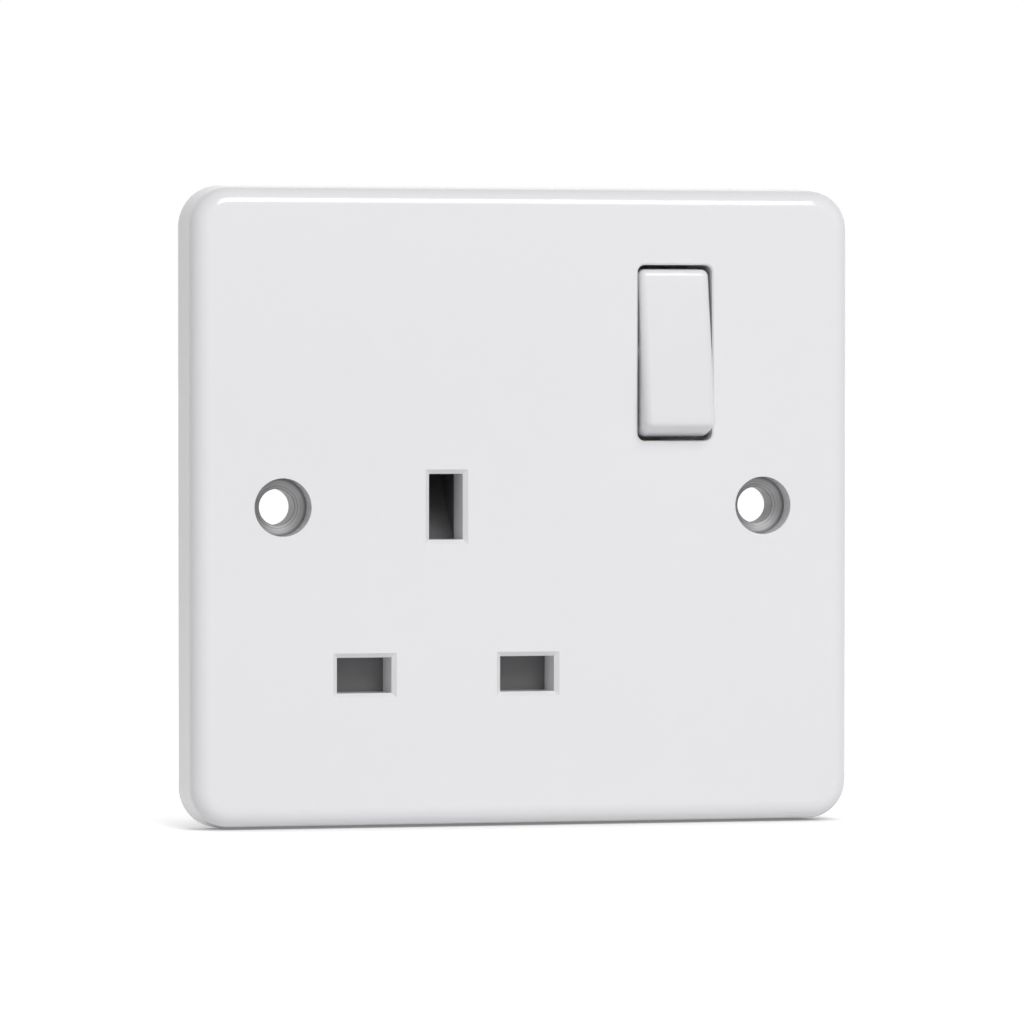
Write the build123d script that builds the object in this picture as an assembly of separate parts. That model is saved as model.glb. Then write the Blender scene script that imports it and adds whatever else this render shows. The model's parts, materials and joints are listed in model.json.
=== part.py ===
from build123d import *
import os
from math import cos, hypot, pi, radians, sin

# One-gang switched socket outlet. Millimetres.
# X runs right and Z up as seen from the front, Y runs into the wall, and y = 0 is the wall plane.

# Faceplate
plate_width = 90.8
plate_height = 85.0
plate_depth = 7.5
plate_front_wall = 2.5
plate_rim_wall = 2.4
plate_corner_radius = 5.5
plate_edge_round = 2.4
plate_draft = 4.0
plate_foot_land = 0.6

# Fixing holes with their earthing eyelets
fixing_centres = 65.8
fixing_bore_radius = 2.4
fixing_recess_radius = 3.85
fixing_recess_depth = 3.0
eyelet_outer_radius = 4.1
eyelet_spigot_radius = 3.2
eyelet_dish_depth = 0.9
fixing_boss_wall = 1.4
mouth_chamfer = 0.2

# Plug pins and the apertures that take them
pin_pitch = 22.23
pin_reach = 17.7
earth_pin_reach = 22.73
socket_x = -10.7
earth_slot_width = 4.6
earth_slot_height = 8.7
line_slot_width = 7.4
line_slot_height = 4.7
slot_chamfer = 0.6
slot_depth = 5.5
pad_half = 6.3
pad_top = 7.0
pad_rise = 5.5

# Shutter
shutter_thickness = 1.8
shutter_gap = 0.1
shutter_side_wall = 1.1
shutter_window_gap = 0.4
shutter_travel = 8.4
shutter_cheek = 1.8
shutter_back_wall = 0.9
spring_slot_half = 2.9
spring_stop_half = 2.4
spring_stop_height = 3.2
ramp_drop = 8.2
shutter_spring_radius = 1.4
shutter_wire_radius = 0.2
shutter_spring_turns = 5
spring_groove_half = 1.9
spring_groove_run = 2.0
guide_end_gap = 3.1
guide_wall = 1.4
guide_gap = 0.25

# Rocker switch
rocker_x = 20.7
rocker_z = 20.4
rocker_width = 9.7
rocker_face_length = 21.0
rocker_face_to_pivot = 4.0
rocker_pivot_depth = 2.5
rocker_skirt = 1.5
rocker_wall = 1.3
rocker_edge_round = 1.0
rocker_throw = 20.0
rocker_side_gap = 0.32
rocker_end_gap = 0.48
trunnion_radius = 1.2
trunnion_reach = 1.3
pivot_clearance = 0.06
well_wall = 1.5
tube_half = 2.6
tube_length = 6.5
plunger_radius = 1.65
plunger_tip_radius = 1.2
plunger_nose_half = 1.1
plunger_nose_length = 2.0
plunger_clearance = 0.08
plunger_tail = 2.6
plunger_reach = 13.0
plunger_wire_radius = 0.18
plunger_spring_turns = 3
coil_steps = 8

# Switch contacts
sheet = 0.8
contact_width = 5.0
contact_arm = 7.3
contact_bend = 15.0
contact_lift = 0.1
cradle_gap = 0.3
cradle_drop = 0.15
tip_radius = 1.4
tip_height = 0.5
touch_gap = 0.07
fixed_tip_height = 0.9
cheek_gap = 0.35
cheek_half = 2.2
cheek_rise = 2.4

# Receptacles and terminals
fork_width = 6.0
fork_half_gap = 1.85
fork_flare = 0.75
earth_frame_width = 8.2
earth_room_width = 9.0
earth_room_height = 13.2
blade_lead = 3.2
clip_height = 2.0
clip_inset = 0.6
line_clip_setback = 2.6
line_clip_height = 3.0
earth_tongue_half = 5.2
earth_tail_half = 4.0
clip_sheet = 0.4
fit_gap = 0.1
block_width = 8.4
block_depth = 8.2
block_height = 8.4
earth_block_width = 18.0
block_chamfer = 0.4
line_block_inset = 0.5
earth_block_inset = 4.3
wire_bore_radius = 2.25
screw_radius = 1.75
screw_stand = 1.6
screw_travel = 2.6
thread_gap = 0.05

# Rear cover
cover_half_width = 28.5
cover_half_height = 31.5
cover_wall = 1.6
cover_floor = 1.6
cover_corner = 2.0
chamber_room = 1.0
chamber_rise = 6.1
switch_room = 0.5
notch_half_height = 8.5
notch_x = 22.3
tower_wall = 1.5
pocket_gap = 0.3
post_half = 2.3
post_skin = 1.7
assembly_core_radius = 1.3
assembly_clear_radius = 1.6
assembly_head_radius = 2.4
assembly_head_height = 1.5
assembly_end_gap = 0.4
strap_slot_run = 10.0

# Worked out from the above
front_y = -plate_depth
wall_back_y = front_y + plate_front_wall
pad_y = front_y + slot_depth
shutter_front_y = pad_y + shutter_gap
shutter_back_y = shutter_front_y + shutter_thickness
neutral_x = socket_x - pin_pitch / 2
live_x = socket_x + pin_pitch / 2
line_z = -pin_pitch
shutter_half_width = pin_pitch / 2 + line_slot_width / 2 + shutter_window_gap + shutter_side_wall
ramp_half = earth_slot_width / 2 + 0.1
box_half = ramp_half + shutter_cheek
pivot_y = front_y + rocker_pivot_depth
rocker_radius = hypot(rocker_face_to_pivot, rocker_face_length / 2)
well_half_height = rocker_radius + rocker_end_gap
well_half_width = rocker_width / 2 + rocker_side_gap
fulcrum_y = pivot_y + plunger_reach + contact_lift + sheet
fixed_tip_y = fulcrum_y + tip_height + touch_gap
strip_front_y = fixed_tip_y + fixed_tip_height
strip_back_y = strip_front_y + sheet
floor_y = strip_back_y + fit_gap
cover_back_y = floor_y + cover_floor
ramp_front_z = -earth_slot_height / 2 - 0.6
ramp_back_z = earth_slot_height / 2 + 0.2
block_top_z = ramp_back_z + 0.6
ramp_back_y = shutter_front_y + ramp_drop
shutter_block_y = ramp_back_y + shutter_back_wall
bridge_top_z = -6.5
bridge_under_z = -11.0
window_top_z = line_z + shutter_travel + line_slot_height / 2 + 0.35
window_under_z = line_z + shutter_travel - line_slot_height / 2 - 0.35
shutter_foot_z = line_z - line_slot_height / 2 - 2.0
earth_floor_y = shutter_block_y + 0.2
earth_back_y = earth_floor_y + sheet
earth_frame_y = earth_back_y + sheet
earth_tip_y = front_y + earth_pin_reach + 0.8
tower_back_y = strip_back_y + block_depth + 0.6
post_places = [(-24.2, 20.5), (25.6, -14.0)]
spring_foot_z = -25.4
earth_block_z = cover_half_height - earth_block_inset - block_height
line_block_z = -cover_half_height + line_block_inset
strip_x = 10.8
earth_floor_half = 6.9
earth_floor_height = 6.2
tail_half_width = 2.0
feed_low_x = 16.9
feed_high_x = notch_x - cover_wall - 0.4
feed_rib_width = 1.4
feed_rib_top = 9.0
tail_foot_z = -cover_half_height + cover_wall + fit_gap
guide_foot_z = -plate_height / 2 + plate_rim_wall + guide_end_gap
arm_end = contact_arm + 1.6
strip_half = 2.5
strip_rise = 2.4
tip_land = 2.0
clip_half_width = fork_width / 2 + fit_gap / 2 + clip_sheet
fork_reach = fork_half_gap + sheet + fork_flare
saddle_half = contact_width / 2 + cheek_gap + sheet


def slab(sketch, front, back):
    # Solid of a sketch seen from the front, kept between two depths
    return extrude(Plane.XZ.offset(-back) * sketch, back - front)


def window(x_low, x_high, z_low, z_high):
    # Rectangle in the front view, by its limits
    centre = Pos((x_low + x_high) / 2, (z_low + z_high) / 2)
    return centre * Rectangle(x_high - x_low, z_high - z_low)


def folded(points, thickness, width):
    # Sheet folded along a line in the Y-Z plane
    section = trace(Polyline(*points), thickness)
    return extrude(Plane.YZ * section, width / 2, both=True)


def turned(points):
    # Turned piece about the Y axis, from radius and depth pairs
    profile = make_face(Polyline(*points, close=True))
    return revolve(profile, Axis.Y)


def coil(radius, wire, height, turns):
    # Compression spring along Z from z = 0, as short straight lengths of square wire
    count = turns * coil_steps
    rise = (height - 2 * wire) / count
    turn = 2 * pi / coil_steps
    points = [(radius * cos(k * turn), radius * sin(k * turn), wire + k * rise) for k in range(count + 1)]
    path = Polyline(*points)
    section = Plane(path @ 0, x_dir=(1, 0, 0), z_dir=path % 0) * Rectangle(2 * wire, 2 * wire)
    return sweep(section, path=path, transition=Transition.RIGHT)


def both_sides(shape):
    return shape + mirror(shape, Plane.YZ)


# Faceplate: a drafted, rounded shell with its bosses, wells and guides
outline = RectangleRounded(plate_width, plate_height, plate_corner_radius)
plate = extrude(Plane.XZ * outline, plate_depth, taper=plate_draft)
plate = fillet(plate.faces().sort_by(Axis.Y)[0].edges(), plate_edge_round)
hollow_outline = RectangleRounded(
    plate_width - 2 * plate_rim_wall,
    plate_height - 2 * plate_rim_wall,
    plate_corner_radius - plate_rim_wall,
)
plate -= extrude(Plane.XZ * hollow_outline, plate_depth - plate_front_wall, taper=plate_draft)

pad_sketch = window(socket_x - pad_half, socket_x + pad_half, shutter_foot_z, pad_top)
pad_sketch += window(
    socket_x - shutter_half_width, socket_x + shutter_half_width, shutter_foot_z, line_z + pad_rise
)
plate += slab(pad_sketch, wall_back_y - 0.5, pad_y)
guide_x = shutter_half_width + guide_gap
guides = window(socket_x + guide_x, socket_x + guide_x + guide_wall, guide_foot_z, bridge_top_z)
guides += window(socket_x - guide_x - guide_wall, socket_x - guide_x, guide_foot_z, bridge_top_z)
stop_half = box_half + fit_gap
stop_z = block_top_z + guide_gap - fit_gap
guides += window(socket_x - stop_half, socket_x + stop_half, stop_z, stop_z + guide_wall)
guides += window(
    socket_x - spring_stop_half,
    socket_x + spring_stop_half,
    spring_foot_z - spring_stop_height,
    spring_foot_z,
)
plate += slab(guides, wall_back_y - 0.5, -shutter_gap)

rocker_place = Pos(rocker_x, rocker_z)
well_sketch = rocker_place * Rectangle(
    2 * (well_half_width + well_wall), 2 * (well_half_height + well_wall)
)
plate += slab(well_sketch, wall_back_y - 0.5, -0.2)
fixing_places = [Pos(-fixing_centres / 2, 0), Pos(fixing_centres / 2, 0)]
counterbore_radius = eyelet_outer_radius + fit_gap
for place in fixing_places:
    boss = place * Circle(counterbore_radius + fixing_boss_wall)
    plate += slab(boss, wall_back_y - 0.5, 0)
for place in post_places:
    plate += slab(Pos(*place) * Rectangle(2 * post_half, 2 * post_half), wall_back_y - 0.5, 0)

slot_places = [(socket_x, 0), (neutral_x, line_z), (live_x, line_z)]
earth_slot = Pos(socket_x, 0) * Rectangle(earth_slot_width, earth_slot_height)
line_slot = Rectangle(line_slot_width, line_slot_height)
slots = earth_slot + Pos(neutral_x, line_z) * line_slot + Pos(live_x, line_z) * line_slot
plate -= slab(slots, front_y - 1, 1)
well_mouth = rocker_place * RectangleRounded(2 * well_half_width, 2 * well_half_height, 1.0)
plate -= slab(well_mouth, front_y - 1, 1)
bearing_reach = 2 * (rocker_width / 2 + trunnion_reach + 0.15)
bearing = rocker_place * Rectangle(bearing_reach, 2 * (trunnion_radius + pivot_clearance))
plate -= slab(bearing, pivot_y, 1)
bearing_pin = Cylinder(trunnion_radius + pivot_clearance, bearing_reach, rotation=(0, 90, 0))
plate -= Pos(rocker_x, pivot_y, rocker_z) * bearing_pin
recess_y = front_y + fixing_recess_depth
for place in fixing_places:
    plate -= slab(place * Circle(fixing_recess_radius), front_y - 1, recess_y + 1)
    plate -= slab(place * Circle(counterbore_radius), recess_y, 1)
strap_half = 3.0
strap_y = -fit_gap - sheet
for side in (-1, 1):
    strap_slot = Pos(side * (fixing_centres - strap_slot_run) / 2, 0) * Rectangle(
        strap_slot_run, 2 * (strap_half + 0.2)
    )
    plate -= slab(strap_slot, strap_y - fit_gap, 1)
spring_groove = window(
    socket_x - spring_groove_half,
    socket_x + spring_groove_half,
    spring_foot_z,
    bridge_under_z + spring_groove_run,
)
spring_y = shutter_front_y + 0.4
plate -= slab(spring_groove, spring_y - shutter_spring_radius - shutter_wire_radius - 0.2, pad_y + 0.1)
for place in post_places:
    plate -= slab(Pos(*place) * Circle(assembly_core_radius + thread_gap), front_y + post_skin, 1)

front_face = plate.faces().sort_by(Axis.Y)[0]
slot_edges = []
mouth_edges = []
for wire in front_face.inner_wires():
    middle = wire.bounding_box().center()
    if any(hypot(middle.X - x, middle.Z - z) < line_slot_height for x, z in slot_places):
        slot_edges.extend(wire.edges())
    elif hypot(middle.X - rocker_x, middle.Z - rocker_z) < rocker_width:
        mouth_edges.extend(wire.edges())
plate = chamfer(slot_edges, slot_chamfer)
mouth_middles = [edge.center() for edge in mouth_edges]
mouth_edges = [
    edge
    for edge in plate.edges()
    if any((edge.center() - middle).length < 0.01 for middle in mouth_middles)
]
plate = chamfer(mouth_edges, mouth_chamfer)

# Earthing eyelets, pressed from the rear into the fixing holes
eyelet_top = recess_y + 0.05
eyelet = turned(
    [
        (fixing_bore_radius, 0),
        (eyelet_spigot_radius, 0),
        (eyelet_spigot_radius, strap_y - 0.05),
        (eyelet_outer_radius, strap_y - 0.05),
        (eyelet_outer_radius, eyelet_top),
        (fixing_bore_radius, eyelet_top + eyelet_dish_depth),
    ]
)
eyelet_left = Pos(-fixing_centres / 2, 0, 0) * eyelet
eyelet_right = Pos(fixing_centres / 2, 0, 0) * eyelet

# Rear cover: an open tray with chambers and terminal towers
cover_sketch = window(-cover_half_width, cover_half_width, -cover_half_height, cover_half_height)
cover_sketch = chamfer(cover_sketch.vertices(), cover_corner)
neutral_wall_x = neutral_x - clip_half_width - chamber_room - cover_wall
chamber_top = line_z + chamber_rise
cover_sketch += window(
    neutral_wall_x, neutral_x, line_z - fork_reach - chamber_room - cover_wall, chamber_top
)
cover_sketch += window(
    strip_x - strip_half - fit_gap - cover_wall,
    rocker_x + saddle_half + fit_gap + cover_wall,
    rocker_z - cheek_half - fit_gap - cover_wall,
    rocker_z + max(arm_end + switch_room + cover_wall, well_half_height + well_wall),
)
notch = window(notch_x, cover_half_width + cover_wall, -notch_half_height, notch_half_height)
cover_sketch -= notch + mirror(notch, Plane.YZ)
tray_inside = offset(cover_sketch, -cover_wall, kind=Kind.INTERSECTION)
cover = slab(cover_sketch, 0, cover_back_y) - slab(tray_inside, -1, floor_y)

chamber_left = neutral_x + fork_width / 2 + 1.5
chamber_mid = 2 * socket_x - chamber_left
live_right = live_x + fork_width / 2 + 1.5
foot = -cover_half_height + cover_wall / 2
ribs = window(chamber_left, chamber_left + cover_wall, foot, chamber_top + cover_wall)
ribs += window(chamber_mid - cover_wall, chamber_mid, foot, chamber_top + cover_wall)
ribs += window(live_right, live_right + cover_wall, foot, line_z - strip_rise - 2 * pocket_gap)
ribs += window(
    live_right, live_right + cover_wall, line_z + strip_rise + 2 * pocket_gap, chamber_top + cover_wall
)
wall_x = -cover_half_width + cover_wall / 2
ribs += window(wall_x, chamber_left + cover_wall, chamber_top, chamber_top + cover_wall)
ribs += window(chamber_mid - cover_wall, live_right + cover_wall, chamber_top, chamber_top + cover_wall)
rib_right = feed_low_x - pocket_gap
ribs += window(rib_right - feed_rib_width, rib_right, foot, feed_rib_top)
cover += slab(ribs, 0, floor_y + 0.5)
ledge_x = earth_room_width / 2 + pocket_gap + fit_gap
ledges = window(socket_x - earth_floor_half, socket_x - ledge_x, -strap_half, strap_half)
ledges += window(socket_x + ledge_x, socket_x + earth_floor_half, -strap_half, strap_half)
cover += slab(ledges, earth_back_y + fit_gap, floor_y + 0.5)
for place in post_places:
    cover += slab(Pos(*place) * Rectangle(2 * post_half, 2 * post_half), 0, floor_y + 0.5)

half_block = block_width / 2
pocket_edge = half_block + pocket_gap
block_top = line_block_z + block_height
for middle in (neutral_x, rocker_x):
    tower = window(
        middle - pocket_edge - tower_wall,
        middle + pocket_edge + tower_wall,
        -cover_half_height,
        block_top + pocket_gap + tower_wall,
    )
    cover += slab(tower, cover_back_y - 0.5, tower_back_y)
earth_half = earth_block_width / 2 + pocket_gap
earth_tower = window(
    socket_x - earth_half - tower_wall,
    socket_x + earth_half + tower_wall,
    earth_block_z - pocket_gap - tower_wall,
    cover_half_height,
)
earth_tower_back_y = earth_back_y + block_depth + 0.6
cover += slab(earth_tower, cover_back_y - 0.5, earth_tower_back_y)
contact_tower = Pos(socket_x, 0) * Rectangle(
    earth_room_width + 2 * tower_wall, earth_room_height + 2 * tower_wall
)
cover += slab(contact_tower, cover_back_y - 0.5, earth_tip_y + tower_wall)
contact_room = Pos(socket_x, 0) * Rectangle(earth_room_width, earth_room_height)
cover -= slab(contact_room, floor_y - 1.5, earth_tip_y + fit_gap)

for middle in (neutral_x, rocker_x):
    pocket = window(
        middle - pocket_edge, middle + pocket_edge, -cover_half_height - 1, block_top + pocket_gap
    )
    cover -= slab(pocket, strip_back_y - fit_gap, tower_back_y + 1)
earth_pocket = window(
    socket_x - earth_half, socket_x + earth_half, earth_block_z - pocket_gap, cover_half_height + 1
)
cover -= slab(earth_pocket, earth_floor_y - fit_gap, earth_tower_back_y + 1)
for place in post_places:
    cover -= slab(Pos(*place) * Circle(assembly_clear_radius), -1, cover_back_y + 1)

# Earth path: strap folded round the pin, its receptacle and the twin terminal
arm_y = strap_y + sheet / 2
leg_x = earth_floor_half - sheet / 2
floor_middle_y = earth_floor_y + sheet / 2
strap_line = Polyline(
    (-fixing_centres / 2, arm_y),
    (socket_x - leg_x, arm_y),
    (socket_x - leg_x, floor_middle_y),
    (socket_x + leg_x, floor_middle_y),
    (socket_x + leg_x, arm_y),
    (fixing_centres / 2, arm_y),
)
strap = extrude(trace(strap_line, sheet), strap_half, both=True)
tongue = window(
    socket_x - earth_tongue_half, socket_x + earth_tongue_half, -earth_floor_height, earth_floor_height
)
tongue += window(
    socket_x - earth_tail_half, socket_x + earth_tail_half, 0, earth_block_z + block_height / 4
)
tongue += window(
    socket_x - earth_block_width / 2,
    socket_x + earth_block_width / 2,
    earth_block_z,
    earth_block_z + block_height,
)
strap += slab(tongue, earth_floor_y, earth_back_y)
for place in fixing_places:
    strap += slab(place * Circle(eyelet_outer_radius - 0.05), strap_y, -fit_gap)
for place in fixing_places:
    strap -= slab(place * Circle(eyelet_spigot_radius + thread_gap), -3, 1)
pin_window = Pos(socket_x, 0) * Rectangle(earth_slot_width + 0.6, earth_slot_height + 0.4)
strap -= slab(pin_window, earth_floor_y - 1, earth_back_y + 1)

blade_z = 3.4
earth_frame = Pos(socket_x, 0) * Rectangle(earth_frame_width, 2 * earth_floor_height)
earth_contact = slab(earth_frame, earth_back_y, earth_frame_y)
earth_contact -= slab(pin_window, earth_back_y - 1, earth_frame_y + 1)
blade_root = earth_slot_width / 2 + 0.3 + sheet / 2
blade_mid = fork_half_gap + sheet / 2
blade_line = Polyline(
    (socket_x + blade_root, earth_back_y + sheet / 2),
    (socket_x + blade_root, earth_frame_y + 0.6),
    (socket_x + blade_mid, earth_frame_y + blade_lead),
    (socket_x + blade_mid, earth_tip_y),
)
blade = extrude(trace(blade_line, sheet), blade_z, both=True)
earth_contact += blade + mirror(blade, Plane.YZ.offset(socket_x))

band_out = fork_half_gap + sheet + fit_gap / 2
earth_band = Rectangle(2 * (band_out + clip_sheet), 2 * (blade_z + fit_gap + clip_sheet))
earth_band -= Rectangle(2 * band_out, 2 * (blade_z + fit_gap))
earth_clip_y = earth_tip_y - clip_inset
earth_clip = slab(Pos(socket_x, 0) * earth_band, earth_clip_y - clip_height, earth_clip_y)

wire_y = block_depth / 2 - 0.4
block = slab(window(-half_block, half_block, 0, block_height), 0, block_depth)
block = chamfer(block.edges().filter_by(Axis.Y), block_chamfer)
block -= Pos(0, wire_y, block_height / 2) * Cylinder(wire_bore_radius, 2 * block_height)
screw_hole = slab(Pos(0, block_height / 2) * Circle(screw_radius + thread_gap), wire_y, block_depth + 1)
block -= screw_hole

earth_block = slab(
    window(-earth_block_width / 2, earth_block_width / 2, 0, block_height), 0, block_depth
)
earth_block = chamfer(earth_block.edges().filter_by(Axis.Y), block_chamfer)
earth_pitch = earth_block_width / 4
for side in (-1, 1):
    earth_block -= Pos(side * earth_pitch, wire_y, block_height / 2) * Cylinder(
        wire_bore_radius, 2 * block_height
    )
    earth_block -= Pos(side * earth_pitch, 0, 0) * screw_hole

screw_tip_y = wire_y + wire_bore_radius + 0.1
screw_end_y = block_depth + screw_travel + screw_stand
terminal_screw = slab(Circle(screw_radius), screw_tip_y, screw_end_y)
drive_slot = window(-0.4, 0.4, -screw_radius, screw_radius)
terminal_screw -= slab(drive_slot, screw_end_y - 0.9, screw_end_y + 1)

earth_terminal = Pos(socket_x, earth_back_y, earth_block_z) * earth_block
earth_screw_z = earth_block_z + block_height / 2
earth_screw_left = Pos(socket_x - earth_pitch, earth_back_y, earth_screw_z) * terminal_screw
earth_screw_right = Pos(socket_x + earth_pitch, earth_back_y, earth_screw_z) * terminal_screw
neutral_terminal = Pos(neutral_x, strip_back_y, line_block_z) * block
live_terminal = Pos(rocker_x, strip_back_y, line_block_z) * block
line_screw_z = line_block_z + block_height / 2
neutral_screw = Pos(neutral_x, strip_back_y, line_screw_z) * terminal_screw
live_screw = Pos(rocker_x, strip_back_y, line_screw_z) * terminal_screw

# Line receptacles: forks folded from strip
fork_mouth_y = 0.6
fork_mid = fork_half_gap + sheet / 2
strip_middle_y = (strip_front_y + strip_back_y) / 2
fork_points = [
    (fork_mouth_y, fork_mid + fork_flare),
    (fork_mouth_y + 1.8, fork_mid),
    (strip_middle_y, fork_mid),
    (strip_middle_y, -fork_mid),
    (fork_mouth_y + 1.8, -fork_mid),
    (fork_mouth_y, -fork_mid - fork_flare),
]
fork = folded(fork_points, sheet, fork_width)
band = Rectangle(2 * clip_half_width, 2 * (band_out + clip_sheet))
band -= Rectangle(2 * (clip_half_width - clip_sheet), 2 * band_out)
clip_y = fork_mouth_y + line_clip_setback
clip = slab(band, clip_y, clip_y + line_clip_height)

neutral_tail = window(neutral_x - tail_half_width, neutral_x + tail_half_width, tail_foot_z, line_z)
neutral_contact = Pos(neutral_x, 0, line_z) * fork + slab(neutral_tail, strip_front_y, strip_back_y)
neutral_clip = Pos(neutral_x, 0, line_z) * clip
live_clip = Pos(live_x, 0, line_z) * clip

fixed_tip_z = rocker_z + contact_arm
live_strip = window(live_x, strip_x + strip_half, line_z - strip_rise, line_z + strip_rise)
live_strip += window(
    strip_x - strip_half, strip_x + strip_half, line_z - strip_rise, fixed_tip_z + tip_land
)
live_strip += window(
    strip_x - strip_half, rocker_x + strip_rise, fixed_tip_z - tip_land, fixed_tip_z + tip_land
)
live_strip = chamfer(live_strip.vertices().group_by(Axis.X)[-1], 1.2)
live_contact = Pos(live_x, 0, line_z) * fork + slab(live_strip, strip_front_y, strip_back_y)
fixed_tip = slab(Pos(rocker_x, fixed_tip_z) * Circle(tip_radius + 0.1), fixed_tip_y, strip_front_y)

# Feed from the live terminal up to the saddle that the moving contact rocks in
feed = window(feed_low_x, feed_high_x, tail_foot_z, rocker_z)
feed += window(feed_low_x, rocker_x + tail_half_width, tail_foot_z, block_top)
feed += window(rocker_x - saddle_half, rocker_x + saddle_half, rocker_z - cheek_half, rocker_z + cheek_half)
saddle = slab(feed, strip_front_y, strip_back_y)
cheek = window(saddle_half - sheet, saddle_half, -cheek_half, cheek_half)
cheeks = Pos(rocker_x, rocker_z) * (cheek + mirror(cheek, Plane.YZ))
saddle += slab(cheeks, fulcrum_y - cheek_rise, strip_back_y)
cradle = Pos(rocker_x, rocker_z) * Rectangle(2 * saddle_half + 1, sheet + 2 * cradle_gap)
saddle -= slab(cradle, fulcrum_y - cheek_rise - sheet, fulcrum_y + cradle_drop)

# Moving contact, drawn closed and then turned to its open rest
bend = radians(contact_bend)
plate_mid = fulcrum_y - sheet / 2
blade_points = [
    (plate_mid, arm_end),
    (plate_mid, 0),
    (plate_mid - arm_end * sin(bend), -arm_end * cos(bend)),
]
moving = folded(blade_points, sheet, contact_width)
moving += Pos(0, plate_mid, 0) * Box(2 * (saddle_half - fit_gap), sheet, sheet)
moving_tip = slab(Pos(0, contact_arm) * Circle(tip_radius), fulcrum_y, fulcrum_y + tip_height)
open_turn = Pos(0, fulcrum_y, 0) * Rot(contact_bend, 0, 0) * Pos(0, -fulcrum_y, 0)
moving_contact = Pos(rocker_x, 0, rocker_z) * (open_turn * moving)
moving_contact_tip = Pos(rocker_x, 0, rocker_z) * (open_turn * moving_tip)

# Rocker about its own pivot, then turned to off with its foot standing out
cap_profile = Circle(rocker_radius) & Pos((rocker_skirt - rocker_face_to_pivot) / 2, 0) * Rectangle(
    rocker_face_to_pivot + rocker_skirt, 3 * rocker_radius
)
cap = extrude(Plane.YZ * cap_profile, rocker_width / 2, both=True)
cap_edges = cap.edges().filter_by(GeomType.CIRCLE) + cap.faces().sort_by(Axis.Y)[0].edges()
cap = fillet(cap_edges, rocker_edge_round)
tube_front = -rocker_face_to_pivot + rocker_wall
inner_profile = Circle(rocker_radius - rocker_wall) & Pos((tube_front + rocker_radius) / 2, 0) * Rectangle(
    rocker_radius - tube_front, 3 * rocker_radius
)
inner_half = rocker_width / 2 - rocker_wall
cap -= extrude(Plane.YZ * inner_profile, inner_half, both=True)
cap += slab(Rectangle(2 * tube_half, 2 * tube_half), tube_front - 0.3, tube_length)
trunnion_length = trunnion_reach + rocker_wall
trunnion = Cylinder(trunnion_radius, trunnion_length, rotation=(0, 90, 0))
cap += both_sides(Pos(inner_half + trunnion_length / 2, 0, 0) * trunnion)
bore_radius = plunger_radius + plunger_clearance
bore_front = tube_front + 0.3
cap -= slab(Circle(bore_radius), bore_front, tube_length + 1)

tip_centre = plunger_reach - plunger_tip_radius
nose_root = tip_centre - plunger_nose_length
nose_profile = Pos(tip_centre, 0) * Circle(plunger_tip_radius)
nose_profile += Pos((nose_root + tip_centre) / 2, 0) * Rectangle(
    tip_centre - nose_root, 2 * plunger_tip_radius
)
plunger = slab(Circle(plunger_radius), plunger_tail, nose_root)
plunger += extrude(Plane.YZ * nose_profile, plunger_nose_half, both=True)
plunger_coil = coil(
    1.25, plunger_wire_radius, plunger_tail - bore_front - 0.04, plunger_spring_turns
)
plunger_coil = Pos(0, bore_front + 0.02, 0) * Rot(-90, 0, 0) * plunger_coil

off_turn = Pos(rocker_x, pivot_y, rocker_z) * Rot(-rocker_throw / 2, 0, 0)
rocker = off_turn * cap
rocker_plunger = off_turn * plunger
plunger_spring = off_turn * plunger_coil

# Shutter: two flags over the line slots and a ramp in a box behind the earth slot
flags = window(socket_x - shutter_half_width, socket_x + shutter_half_width, shutter_foot_z, bridge_top_z)
flags -= window(
    socket_x - spring_slot_half, socket_x + spring_slot_half, shutter_foot_z - 1, bridge_under_z
)
for middle in (neutral_x, live_x):
    half = line_slot_width / 2 + shutter_window_gap
    flags -= window(middle - half, middle + half, window_under_z, window_top_z)
flags = chamfer(flags.vertices().group_by(Axis.Y)[0], 0.8)
shutter = slab(flags, shutter_front_y, shutter_back_y)
shutter += slab(
    window(socket_x - box_half, socket_x + box_half, bridge_under_z, block_top_z),
    shutter_front_y,
    shutter_block_y,
)
ramp_profile = make_face(
    Polyline(
        (shutter_front_y - 1, ramp_front_z - (ramp_back_z - ramp_front_z) / ramp_drop),
        (ramp_back_y, ramp_back_z),
        (shutter_front_y - 1, ramp_back_z),
        close=True,
    )
)
shutter -= Pos(socket_x, 0, 0) * extrude(Plane.YZ * ramp_profile, ramp_half, both=True)

shutter_spring = Pos(socket_x, spring_y, spring_foot_z + 0.05) * coil(
    shutter_spring_radius,
    shutter_wire_radius,
    bridge_under_z - spring_foot_z - 0.1,
    shutter_spring_turns,
)

# Screws that hold the cover to the plate
assembly_tip_y = front_y + post_skin + assembly_end_gap
assembly_head_y = cover_back_y + 0.05
assembly_screw = turned(
    [
        (0, assembly_tip_y),
        (assembly_core_radius, assembly_tip_y),
        (assembly_core_radius, assembly_head_y),
        (assembly_head_radius, assembly_head_y),
        (assembly_head_radius, assembly_head_y + assembly_head_height),
        (0, assembly_head_y + assembly_head_height),
    ]
)
cross = Rectangle(2.4, 0.5) + Rectangle(0.5, 2.4)
assembly_screw -= slab(cross, assembly_head_y + 0.6, assembly_head_y + 2 * assembly_head_height)
assembly_screws = Compound(children=[Pos(x, 0, z) * assembly_screw for x, z in post_places])

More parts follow.
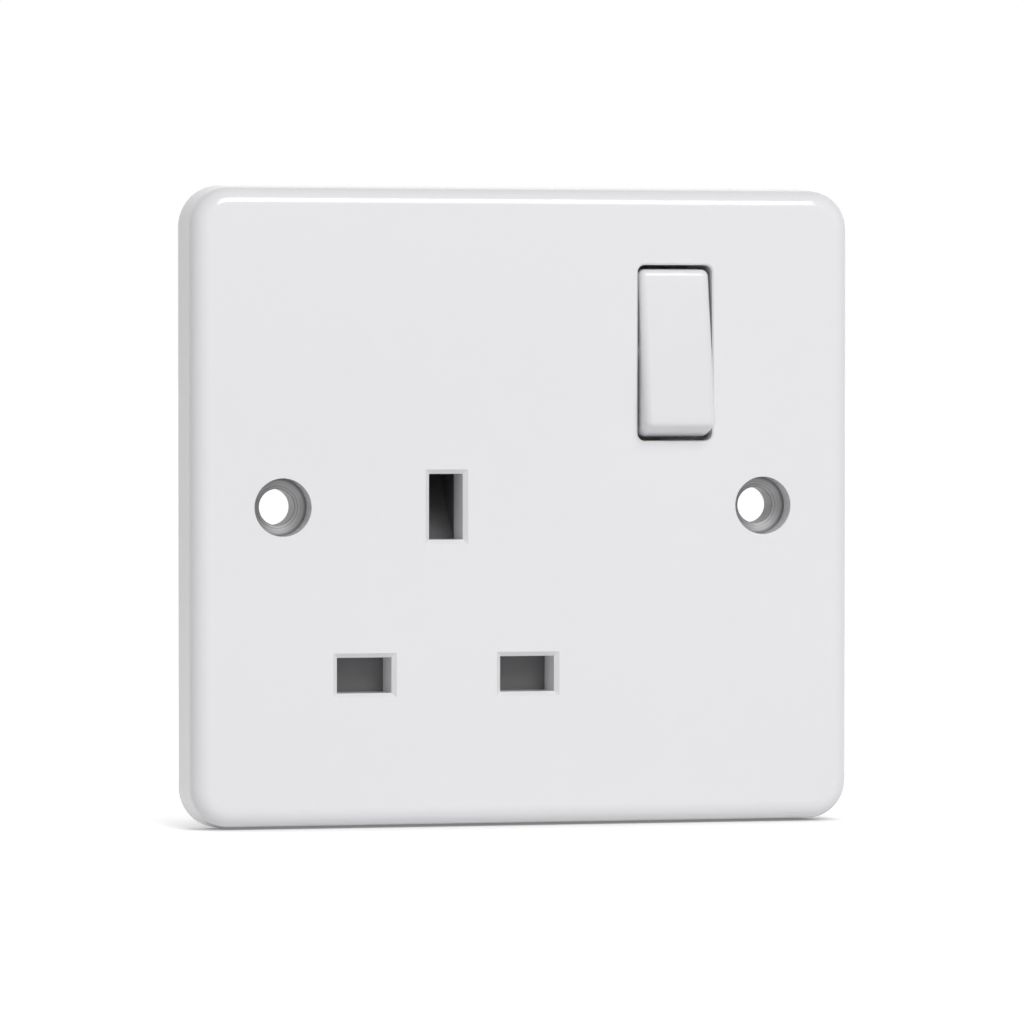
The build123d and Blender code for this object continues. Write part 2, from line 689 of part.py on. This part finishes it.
parts = {
    "faceplate": plate,
    "rear_cover": cover,
    "fixing_eyelet_left": eyelet_left,
    "fixing_eyelet_right": eyelet_right,
    "earth_strap": strap,
    "earth_contact": earth_contact,
    "earth_contact_clip": earth_clip,
    "earth_terminal": earth_terminal,
    "earth_terminal_screw_left": earth_screw_left,
    "earth_terminal_screw_right": earth_screw_right,
    "neutral_contact": neutral_contact,
    "neutral_contact_clip": neutral_clip,
    "neutral_terminal": neutral_terminal,
    "neutral_terminal_screw": neutral_screw,
    "live_contact": live_contact,
    "live_contact_clip": live_clip,
    "fixed_contact_tip": fixed_tip,
    "live_saddle": saddle,
    "live_terminal": live_terminal,
    "live_terminal_screw": live_screw,
    "assembly_screws": assembly_screws,
    "rocker": rocker,
    "rocker_plunger": rocker_plunger,
    "plunger_spring": plunger_spring,
    "moving_contact": moving_contact,
    "moving_contact_tip": moving_contact_tip,
    "shutter": shutter,
    "shutter_spring": shutter_spring,
}
os.makedirs("parts", exist_ok=True)
for name, shape in parts.items():
    export_step(shape, f"parts/{name}.step")
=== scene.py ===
import bmesh
import bpy
import json
import numpy as np
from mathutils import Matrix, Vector


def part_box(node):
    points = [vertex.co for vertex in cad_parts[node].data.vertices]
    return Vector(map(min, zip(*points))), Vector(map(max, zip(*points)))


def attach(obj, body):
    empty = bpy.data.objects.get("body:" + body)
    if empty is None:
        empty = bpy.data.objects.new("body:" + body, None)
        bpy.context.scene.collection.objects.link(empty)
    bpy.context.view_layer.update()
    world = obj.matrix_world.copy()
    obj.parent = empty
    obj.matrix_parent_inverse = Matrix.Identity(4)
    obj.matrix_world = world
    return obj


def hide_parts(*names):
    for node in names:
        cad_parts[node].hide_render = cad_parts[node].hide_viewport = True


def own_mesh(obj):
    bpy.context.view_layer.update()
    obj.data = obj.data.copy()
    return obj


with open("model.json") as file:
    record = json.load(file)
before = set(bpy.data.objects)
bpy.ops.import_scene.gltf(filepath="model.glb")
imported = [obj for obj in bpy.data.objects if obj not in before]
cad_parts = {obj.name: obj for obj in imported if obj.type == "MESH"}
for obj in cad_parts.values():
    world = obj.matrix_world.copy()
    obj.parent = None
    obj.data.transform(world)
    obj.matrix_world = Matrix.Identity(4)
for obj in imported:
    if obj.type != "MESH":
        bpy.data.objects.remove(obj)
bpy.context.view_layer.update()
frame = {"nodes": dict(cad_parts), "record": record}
nodes = frame["nodes"]
jointOf = {joint["name"]: joint for joint in frame["record"]["behaviour"]["joints"]}
print("frame loaded:", len(nodes), "nodes")


class Wire:
    # one shader socket; arithmetic on it adds Math nodes
    def __init__(self, graph, socket):
        self.graph = graph
        self.socket = socket

    def __add__(self, other):
        return self.graph.maths("ADD", self, other)

    def __radd__(self, other):
        return self.graph.maths("ADD", other, self)

    def __rsub__(self, other):
        return self.graph.maths("SUBTRACT", other, self)

    def __mul__(self, other):
        return self.graph.maths("MULTIPLY", self, other)

    def __rmul__(self, other):
        return self.graph.maths("MULTIPLY", other, self)

    def __pow__(self, other):
        return self.graph.maths("POWER", self, other)


class Graph:
    # a node tree that is filled one call at a time
    edgeSamples = 6

    def __init__(self, tree):
        self.tree = tree

    def add(self, kind, settings, sockets, output=0):
        node = self.tree.nodes.new(kind)
        for key, value in settings.items():
            setattr(node, key, value)
        for key, value in sockets.items():
            self.join(node.inputs[key], value)
        return Wire(self, node.outputs[output])

    def join(self, socket, value):
        if isinstance(value, Wire):
            self.tree.links.new(value.socket, socket)
        else:
            socket.default_value = value

    def maths(self, operation, *values):
        return self.add("ShaderNodeMath", {"operation": operation}, dict(enumerate(values)))

    def point(self, shift=(0, 0, 0), scale=(1, 1, 1)):
        place = self.add("ShaderNodeTexCoord", {}, {}, "Object")
        return self.add("ShaderNodeMapping", {}, {"Vector": place, "Location": shift, "Scale": scale})

    def noise(self, point, scale, detail=3.0):
        return self.add("ShaderNodeTexNoise", {}, {"Vector": point, "Scale": scale, "Detail": detail})

    def ramp(self, value, low, high):
        # 0 below low, 1 above high, eased between
        sockets = {"Value": value, "From Min": low, "From Max": high}
        return self.add("ShaderNodeMapRange", {"interpolation_type": "SMOOTHSTEP"}, sockets)

    def tint(self, share, low, high):
        # sockets 6 and 7 of a colour Mix are its two ends, and output 2 is what lies between
        return self.add("ShaderNodeMix", {"data_type": "RGBA"}, {0: share, 6: (*low, 1), 7: (*high, 1)}, 2)

    def bump(self, height, strength, depth, edge):
        # relief over edges that the shader rounds off by the radius given
        soft = self.add("ShaderNodeBevel", {"samples": self.edgeSamples}, {"Radius": edge})
        sockets = {"Height": height, "Strength": strength, "Distance": depth, "Normal": soft}
        return self.add("ShaderNodeBump", {}, sockets)

    def seen(self):
        # 1 for camera, glossy and transmission rays, 0 for the light that fills the scene
        kinds = ("Is Camera Ray", "Is Glossy Ray", "Is Transmission Ray")
        camera, glossy, through = [self.add("ShaderNodeLightPath", {}, {}, kind) for kind in kinds]
        return self.maths("MAXIMUM", camera, self.maths("MAXIMUM", glossy, through))


class Finish(Graph):
    # a material round one Principled shader
    def __init__(self, name):
        self.material = bpy.data.materials.new(name)
        self.material.use_nodes = True
        Graph.__init__(self, self.material.node_tree)
        self.shader = self.tree.nodes["Principled BSDF"]

    def feed(self, **sockets):
        for key, value in sockets.items():
            self.join(self.shader.inputs[key.replace("_", " ")], value)


def around(middle, swing, share):
    # a value that swings by half the swing to each side of its middle as the share goes from 0 to 1
    return middle - swing / 2 + swing * share


# Gloss mouldings: the plate and the rocker, whose colour is painted a shade darker to offset the extra
# light its tilted face catches
glossLook = {
    "driftScale": 28.0,
    "driftDetail": 2.0,
    "cloudScale": 160.0,
    "cloudSwing": 0.06,
    "peelScale": 1400.0,
    "peelDetail": 2.0,
    "peelStrength": 0.06,
    "peelDepth": 0.00004,
    "edge": 0.00008,
}
plateLook = {**glossLook, "low": (0.862, 0.858, 0.880), "high": (0.874, 0.870, 0.892), "roughness": 0.13}
# painted shade: the rocker's tints sit about 5% under the plate's, to offset the extra light on its tilted
# face
rockerShadedLook = {**glossLook, "low": (0.822, 0.818, 0.840), "high": (0.834, 0.830, 0.852), "roughness": 0.14}


def glossMoulding(name, look):
    # smooth press-moulded white: slow colour drift, faint flow clouds in the gloss, a trace of orange peel
    finish = Finish(name)
    point = finish.point()
    drift = finish.noise(point, look["driftScale"], look["driftDetail"])
    clouds = finish.noise(point, look["cloudScale"])
    peel = finish.noise(point, look["peelScale"], look["peelDetail"])
    finish.feed(
        Base_Color=finish.tint(drift, look["low"], look["high"]),
        Roughness=around(look["roughness"], look["cloudSwing"], clouds),
        Normal=finish.bump(peel, look["peelStrength"], look["peelDepth"], look["edge"]),
    )
    return finish.material


# Satin mouldings: the off-white cover, the grey shutter and the natural plunger
satinLook = {
    "blotchScale": 90.0,
    "pitSwing": 0.12,
    "pitStrength": 0.25,
    "pitDepth": 0.00006,
    "edge": 0.0003,
}
coverLook = {
    **satinLook,
    "low": (0.74, 0.735, 0.715),
    "high": (0.80, 0.795, 0.775),
    "roughness": 0.48,
    "pitScale": 2600.0,
}
shutterLook = {
    **satinLook,
    "low": (0.106, 0.106, 0.108),
    "high": (0.142, 0.142, 0.145),
    "roughness": 0.42,
    "pitScale": 2200.0,
}
plungerLook = {
    **satinLook,
    "low": (0.70, 0.68, 0.62),
    "high": (0.77, 0.75, 0.69),
    "roughness": 0.40,
    "pitScale": 2400.0,
}


def satinMoulding(name, look):
    # spark-eroded mould texture: fine grain that breaks the gloss, with softer blotches below it
    finish = Finish(name)
    point = finish.point()
    blotch = finish.noise(point, look["blotchScale"])
    pits = finish.noise(point, look["pitScale"])
    finish.feed(
        Base_Color=finish.tint(blotch, look["low"], look["high"]),
        Roughness=around(look["roughness"], look["pitSwing"], pits),
        Normal=finish.bump(pits, look["pitStrength"], look["pitDepth"], look["edge"]),
    )
    return finish.material


# Rolled and drawn metals: a stretch under 1 draws the streaks out along that axis
rolledLook = {
    "streakScale": 900.0,
    "tarnishScale": 120.0,
    "streakShare": 0.45,
    "streakSwing": 0.16,
    "streakStrength": 0.12,
    "streakDepth": 0.00003,
}
stripLook = {
    **rolledLook,
    "low": (0.62, 0.44, 0.18),
    "high": (0.80, 0.62, 0.30),
    "roughness": 0.30,
    "stretch": (1, 1, 0.06),
    "edge": 0.0001,
}
blockLook = {**stripLook, "roughness": 0.26, "stretch": (0.08, 1, 1), "edge": 0.00016}
zincLook = {
    **rolledLook,
    "low": (0.52, 0.52, 0.50),
    "high": (0.70, 0.69, 0.66),
    "roughness": 0.32,
    "stretch": (1, 0.3, 1),
    "edge": 0.00003,
}
wireLook = {
    **rolledLook,
    "low": (0.42, 0.42, 0.44),
    "high": (0.60, 0.60, 0.62),
    "roughness": 0.28,
    "stretch": (1, 1, 1),
    "edge": 0.00003,
}
tipLook = {
    **rolledLook,
    "low": (0.72, 0.71, 0.69),
    "high": (0.88, 0.87, 0.84),
    "roughness": 0.34,
    "stretch": (1, 1, 1),
    "edge": 0.00008,
}


def rolledMetal(name, look):
    # long streaks along one axis over slow tarnish
    finish = Finish(name)
    streaks = finish.noise(finish.point(scale=look["stretch"]), look["streakScale"])
    tarnish = finish.noise(finish.point(), look["tarnishScale"])
    share = look["streakShare"] * streaks + (1 - look["streakShare"]) * tarnish
    finish.feed(
        Base_Color=finish.tint(share, look["low"], look["high"]),
        Metallic=1.0,
        Roughness=around(look["roughness"], look["streakSwing"], streaks),
        Normal=finish.bump(streaks, look["streakStrength"], look["streakDepth"], look["edge"]),
    )
    return finish.material


# Plated eyelets in the fixing holes
eyeletLook = {
    "low": (0.10, 0.10, 0.102),
    "high": (0.52, 0.52, 0.525),
    "roughness": 0.53,
    "ringScale": 5200.0,
    "ringDetail": 2.0,
    "ringShare": 0.55,
    "ringSwing": 0.18,
    "ringStrength": 0.3,
    "ringDepth": 0.00005,
    "stainScale": 260.0,
    "rimInner": 0.0033,
    "rimOuter": 0.0038,
    "rimPaintedShade": 0.9,
    "edge": 0.0001,
}


def turnedRings(name, look, centreX):
    # lathe marks: rings that count the distance from the hole's own axis, smeared by a slow stain,
    # with a painted shade line, darker outward, where the dish meets the moulding
    finish = Finish(name)
    point = finish.point(shift=(-centreX, 0, 0), scale=(1, 0, 1))
    reach = finish.add("ShaderNodeVectorMath", {"operation": "LENGTH"}, {0: point}, "Value")
    marks = {"W": reach, "Scale": look["ringScale"], "Detail": look["ringDetail"]}
    rings = finish.add("ShaderNodeTexNoise", {"noise_dimensions": "1D"}, marks)
    stain = finish.noise(finish.point(), look["stainScale"])
    # painted shade: the colour darkens towards the dish's outer edge, standing in for the shadow in the
    # gap beside the moulding
    rimShadeMask = finish.ramp(reach, look["rimInner"], look["rimOuter"])
    share = look["ringShare"] * rings + (1 - look["ringShare"]) * stain
    finish.feed(
        Base_Color=finish.tint(share * (1.0 - look["rimPaintedShade"] * rimShadeMask), look["low"], look["high"]),
        Metallic=1.0,
        Roughness=around(look["roughness"], look["ringSwing"], rings),
        Normal=finish.bump(rings, look["ringStrength"], look["ringDepth"], look["edge"]),
    )
    return finish.material


fixingX = sum(corner[0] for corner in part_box("fixing_eyelet_right")) / 2
finishOfEyelet = {
    "fixing_eyelet_left": turnedRings("eyeletLeft", eyeletLook, -fixingX),
    "fixing_eyelet_right": turnedRings("eyeletRight", eyeletLook, fixingX),
}
finishOfSlot = {
    "plate_plastic": glossMoulding("plateGloss", plateLook),
    "rocker_plastic": glossMoulding("rockerShadedGloss", rockerShadedLook),
    "cover_plastic": satinMoulding("coverSatin", coverLook),
    "shutter_plastic": satinMoulding("shutterSatin", shutterLook),
    "plunger_plastic": satinMoulding("plungerSatin", plungerLook),
    "spring_steel": rolledMetal("springSteel", wireLook),
    "screw_steel": rolledMetal("screwZinc", zincLook),
    "contact_brass": rolledMetal("stripBrass", stripLook),
    "terminal_brass": rolledMetal("blockBrass", blockLook),
    "contact_silver": rolledMetal("tipSilver", tipLook),
}
for row in frame["record"]["subparts"]:
    node = nodes[row["node"]]
    chosen = finishOfEyelet.get(row["node"]) or finishOfSlot[row["material_slot"]]
    node.data.materials.clear()
    node.data.materials.append(chosen)
print("finishes laid on", len(nodes), "nodes")

meshRules = {
    "mergeWithin": 1e-7,
    "sharpDegrees": 38,
}


def placed(name, data):
    thing = bpy.data.objects.new(name, data)
    bpy.context.scene.collection.objects.link(thing)
    return thing


def gridPiece(name, points, body, slot, replaced=None):
    # quads between the neighbours of a rows x columns x 3 array; the columns run round and close
    rows, columns = points.shape[:2]
    index = np.arange(rows * columns).reshape(rows, columns)
    index = np.hstack([index, index[:, :1]])
    quads = np.stack([index[:-1, :-1], index[:-1, 1:], index[1:, 1:], index[1:, :-1]], axis=-1)
    mesh = bpy.data.meshes.new(name)
    mesh.from_pydata(points.reshape(-1, 3).tolist(), [], quads.reshape(-1, 4).tolist())
    build = bmesh.new()
    build.from_mesh(mesh)
    bmesh.ops.remove_doubles(build, verts=build.verts, dist=meshRules["mergeWithin"])
    bmesh.ops.recalc_face_normals(build, faces=build.faces)
    build.to_mesh(mesh)
    build.free()
    mesh.shade_smooth()
    mesh.set_sharp_from_angle(angle=np.radians(meshRules["sharpDegrees"]))
    mesh.materials.append(finishOfSlot[slot])
    piece = placed(name, mesh)
    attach(piece, body)
    if replaced:
        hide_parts(replaced)
    return piece


def boxOf(node):
    return [np.array(corner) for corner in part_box(node)]


# Springs: round wire on a helix whose first and last turns lie closed; the wire is given by its radius
coilShape = {
    "shutterWire": 0.0002,
    "shutterTurns": 7.0,
    "plungerWire": 0.00018,
    "plungerTurns": 5.0,
    "stepsPerTurn": 40,
    "wireSides": 12,
}


def coilPoints(foot, axis, side, length, radius, wire, turns):
    # the angle grows evenly; the height creeps one wire thickness in each end turn
    # and climbs evenly between them
    turn = np.linspace(0, turns, int(turns * coilShape["stepsPerTurn"]) + 1)
    thickness = 2 * wire
    climb = length - 3 * thickness
    closed = np.clip(turn, 0, 1) + np.clip(turn - turns + 1, 0, 1)
    height = wire + thickness * closed + climb * np.clip((turn - 1) / (turns - 2), 0, 1)
    other = np.cross(axis, side)
    angle = 2 * np.pi * turn[:, None]
    outward = np.cos(angle) * side + np.sin(angle) * other
    path = foot + radius * outward + height[:, None] * axis
    roll = np.linspace(0, 2 * np.pi, coilShape["wireSides"], endpoint=False)[None, :, None]
    ring = np.cos(roll) * outward[:, None, :] + np.sin(roll) * axis
    swell = np.ones(len(turn))
    swell[[0, -1]] = 0  # both ends close to a point
    return path[:, None, :] + wire * swell[:, None, None] * ring


upward = np.array([0.0, 0.0, 1.0])
sideways = np.array([1.0, 0.0, 0.0])

low, high = boxOf("shutter_spring")
springLength = high[2] - low[2]
springFoot = np.array([(low[0] + high[0]) / 2, (low[1] + high[1]) / 2, low[2]])
coilRadius = (high[0] - low[0]) / 2 - coilShape["shutterWire"]
points = coilPoints(
    springFoot, upward, sideways, springLength, coilRadius,
    coilShape["shutterWire"], coilShape["shutterTurns"],
)
shutterCoil = gridPiece("shutter_coil", points, "housing", "spring_steel", "shutter_spring")
shutterTravel = np.ptp(jointOf["shutter_slide"]["range_m"])
1 - shutterTravel / springLength
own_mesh(shutterCoil)

# the plunger's spring leans with the rocker, so its length comes from its box less the tilt of its ends
low, high = boxOf("plunger_spring")
along = -np.array(jointOf["plunger_slide"]["axis"])
coilReach = (high[0] - low[0]) / 2
springLength = (high[1] - low[1] - 2 * coilReach * abs(along[2])) / along[1]
springFoot = (low + high) / 2 - along * springLength / 2
coilRadius = coilReach - coilShape["plungerWire"]
points = coilPoints(
    springFoot, along, sideways, springLength, coilRadius,
    coilShape["plungerWire"], coilShape["plungerTurns"],
)
plungerCoil = gridPiece("plunger_coil", points, "rocker_body", "spring_steel", "plunger_spring")
plungerTravel = np.ptp(jointOf["plunger_slide"]["range_m"])
1 - plungerTravel / springLength
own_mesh(plungerCoil)
print("springs wound")

# Terminal screws: the thread is cut inwards from the solid's radius, so that the crest keeps its size
grubShape = {
    "pitch": 0.0006,
    "depth": 0.00034,
    "rowsPerTurn": 8,
    "halfColumns": 25,
    "slotHalf": 0.0004,
    "slotDepth": 0.0009,
    "slotWall": 0.001,  # sine between a wall and the column on each side of it
    "chamfer": 0.0003,
}


def threadDip(height, angle, pitch):
    # 0 at the crest and 1 at the root of a V that advances one pitch per turn
    return 1 - np.abs(2 * np.mod(height / pitch - angle / (2 * np.pi), 1) - 1)


def grubPoints(low, high):
    # columns stand at even angles and at both walls of the slot, a pair of columns to a wall;
    # each column climbs to the slot's floor or to the end,
    # and its radius is the least of the thread's and both chamfers'
    radius = (high[0] - low[0]) / 2
    centre = (low + high) / 2
    cut = grubShape["slotHalf"] / radius
    wall = grubShape["slotWall"]
    sines = np.sin(np.linspace(-np.pi / 2, np.pi / 2, grubShape["halfColumns"]))
    sines = np.sort(np.concatenate([sines, [-cut - wall, -cut + wall, cut - wall, cut + wall]]))
    half = np.arcsin(np.clip(sines, -1, 1))
    angle = np.concatenate([half, np.pi - half[::-1][1:-1]])[None, :]
    inSlot = np.abs(np.sin(angle)) < cut
    top = high[1] - grubShape["slotDepth"] * inSlot
    rowCount = int((high[1] - low[1]) / grubShape["pitch"] * grubShape["rowsPerTurn"])
    share = np.linspace(0, 1, rowCount)[:, None]
    height = low[1] + share * (top - low[1])
    reach = radius - grubShape["depth"] * threadDip(height - low[1], angle, grubShape["pitch"])
    reach = np.minimum(reach, radius - grubShape["chamfer"] + (high[1] - height))
    reach = np.minimum(reach, radius - 2 * grubShape["chamfer"] + (height - low[1]))
    x, z = centre[0] + reach * np.sin(angle), centre[2] + reach * np.cos(angle)
    flank = np.stack([x, height, z], axis=-1)
    # the end closes across the slot: each column runs to the one that mirrors it below the middle
    partner = -np.arange(angle.shape[1]) % angle.shape[1]
    middle = (flank[-1] + flank[-1][partner]) / 2
    tip = np.tile([centre[0], low[1], centre[2]], (1, angle.shape[1], 1))
    return np.concatenate([tip, flank, middle[None]])


for body, node in {
    "live_screw": "live_terminal_screw",
    "neutral_screw": "neutral_terminal_screw",
    "earth_screw_left": "earth_terminal_screw_left",
    "earth_screw_right": "earth_terminal_screw_right",
}.items():
    gridPiece(body + "_thread", grubPoints(*boxOf(node)), body, "screw_steel", node)
print("terminal screws cut")

# Assembly screws: their solids keep the heads and shanks, and the rolled thread is laid on
ridgeShape = {
    "pitch": 0.0011,
    "root": 0.00128,
    "crest": 0.00154,
    "halfWidth": 0.00026,
    "stepsPerTurn": 36,
    "headRadius": 0.0024,
    "headHeight": 0.0015,
}


def ridgePoints(x, z, tip, head):
    # three-cornered ridge on a helix round the shank;
    # it swells from nothing at the tip and fades below the head
    length = head - tip
    turns = length / ridgeShape["pitch"]
    share = np.linspace(0, 1, int(turns * ridgeShape["stepsPerTurn"]))
    angle = 2 * np.pi * turns * share[:, None]
    swell = np.clip(np.minimum(share, 1 - share) * turns, 0, 1)
    root = np.full(len(share), ridgeShape["root"])
    crest = root + swell * (ridgeShape["crest"] - ridgeShape["root"])
    reach = np.stack([root, crest, root], axis=1)
    offset = swell[:, None] * ridgeShape["halfWidth"] * np.array([-1.0, 0.0, 1.0])
    depth = tip + length * share[:, None] + offset
    return np.stack([x + reach * np.sin(angle), depth, z + reach * np.cos(angle)], axis=-1)


low, high = boxOf("assembly_screws")
threadStart = low[1] + ridgeShape["halfWidth"]
threadEnd = high[1] - ridgeShape["headHeight"] - 2 * ridgeShape["halfWidth"]
leftX, rightX = low[0] + ridgeShape["headRadius"], high[0] - ridgeShape["headRadius"]
lowerZ, upperZ = low[2] + ridgeShape["headRadius"], high[2] - ridgeShape["headRadius"]
points = ridgePoints(leftX, upperZ, threadStart, threadEnd)
gridPiece("assembly_thread_left", points, "housing", "screw_steel")
points = ridgePoints(rightX, lowerZ, threadStart, threadEnd)
gridPiece("assembly_thread_right", points, "housing", "screw_steel")
print("assembly threads rolled")

# Studio: white sweep, fill that is stronger in front and behind, one soft panel, the photograph's camera
studio = {
    "floorZ": -0.0425,
    "floorHalf": 40.0,
    "floorTone": 0.90,
    "floorLift": 0.66,
    "floorRoughness": 0.9,
    "fibreScale": 700.0,
    "fibreTone": 0.99,
    "paintedShadowReach": 0.035,
    "paintedShadowSamples": 16,
    "paintedShadowDark": 0.40,
    "paintedShadowClear": 0.97,
    "paintedShadowLift": 0.28,
    "sideFill": 0.10,
    "frontFill": 0.65,
    "backFill": 0.80,
    "backFocus": 4,
    "panelPlace": (0.194, -1.101, 0.843),
    "panelAim": (0.0, 0.0, 0.0),
    "panelSize": (0.62, 0.65),
    "panelWatts": 8.2,
    "cameraPlace": (-0.2291, -0.8859, 0.017),
    "cameraAim": (-0.0009, -0.004, -0.0008),
    "lens": 240.5,
    "sensor": 36.0,
    "clipStart": 0.05,
}


def aim(thing, place, target):
    thing.location = place
    heading = Vector(target) - Vector(place)
    thing.rotation_euler = heading.to_track_quat("-Z", "Y").to_euler()


# the fill grows with the distance of its direction from the plate's plane, and more so behind
world = bpy.data.worlds.new("studioWorld")
bpy.context.scene.world = world
world.use_nodes = True
sky = Graph(world.node_tree)
direction = sky.add("ShaderNodeTexCoord", {}, {}, "Generated")
across = sky.add("ShaderNodeSeparateXYZ", {}, {0: direction}, "Y")
fill = studio["sideFill"] + studio["frontFill"] * sky.maths("ABSOLUTE", across)
fill = fill + studio["backFill"] * sky.maths("MAXIMUM", across, 0.0) ** studio["backFocus"]
background = sky.tree.nodes["Background"]
sky.join(background.inputs["Color"], (1, 1, 1, 1))
sky.join(background.inputs["Strength"], fill + (1.0 - fill) * sky.seen())

half = studio["floorHalf"]
corners = np.array([(-half, -half), (half, -half), (half, half), (-half, half)])
corners = np.column_stack([corners, np.full(len(corners), studio["floorZ"])])
floorMesh = bpy.data.meshes.new("floor")
floorMesh.from_pydata(corners.tolist(), [], [(0, 1, 2, 3)])
floor = placed("floor", floorMesh)

# pale paper that glows to white for the eye, with a painted contact shadow where the object stands close
paper = Finish("floorPaper")
rays = {"samples": studio["paintedShadowSamples"]}
# painted shadow: ambient occlusion dims the floor's glow near the object, down to the lift at the darkest
openness = paper.add("ShaderNodeAmbientOcclusion", rays, {"Distance": studio["paintedShadowReach"]}, "AO")
clear = paper.ramp(openness, studio["paintedShadowDark"], studio["paintedShadowClear"])
clear = studio["paintedShadowLift"] + (1 - studio["paintedShadowLift"]) * clear
fibre = paper.noise(paper.point(), studio["fibreScale"])
tone = np.full(3, studio["floorTone"])
paper.feed(
    Base_Color=paper.tint(fibre, studio["fibreTone"] * tone, tone),
    Roughness=studio["floorRoughness"],
    Specular_IOR_Level=0.0,
    Emission_Color=paper.tint(paper.seen() * clear * studio["floorLift"], (0, 0, 0), (1, 1, 1)),
    Emission_Strength=1.0,
)
floorMesh.materials.append(paper.material)

panelData = bpy.data.lights.new("frontPanel", "AREA")
panelData.shape = "RECTANGLE"
panelData.size, panelData.size_y = studio["panelSize"]
panelData.energy = studio["panelWatts"]
aim(placed("frontPanel", panelData), studio["panelPlace"], studio["panelAim"])

cameraData = bpy.data.cameras.new("photoCamera")
cameraData.lens = studio["lens"]
cameraData.sensor_width = studio["sensor"]
cameraData.clip_start = studio["clipStart"]
camera = placed("photoCamera", cameraData)
aim(camera, studio["cameraPlace"], studio["cameraAim"])
bpy.context.scene.camera = camera
bpy.context.scene.view_settings.view_transform = "Standard"
print("studio set")
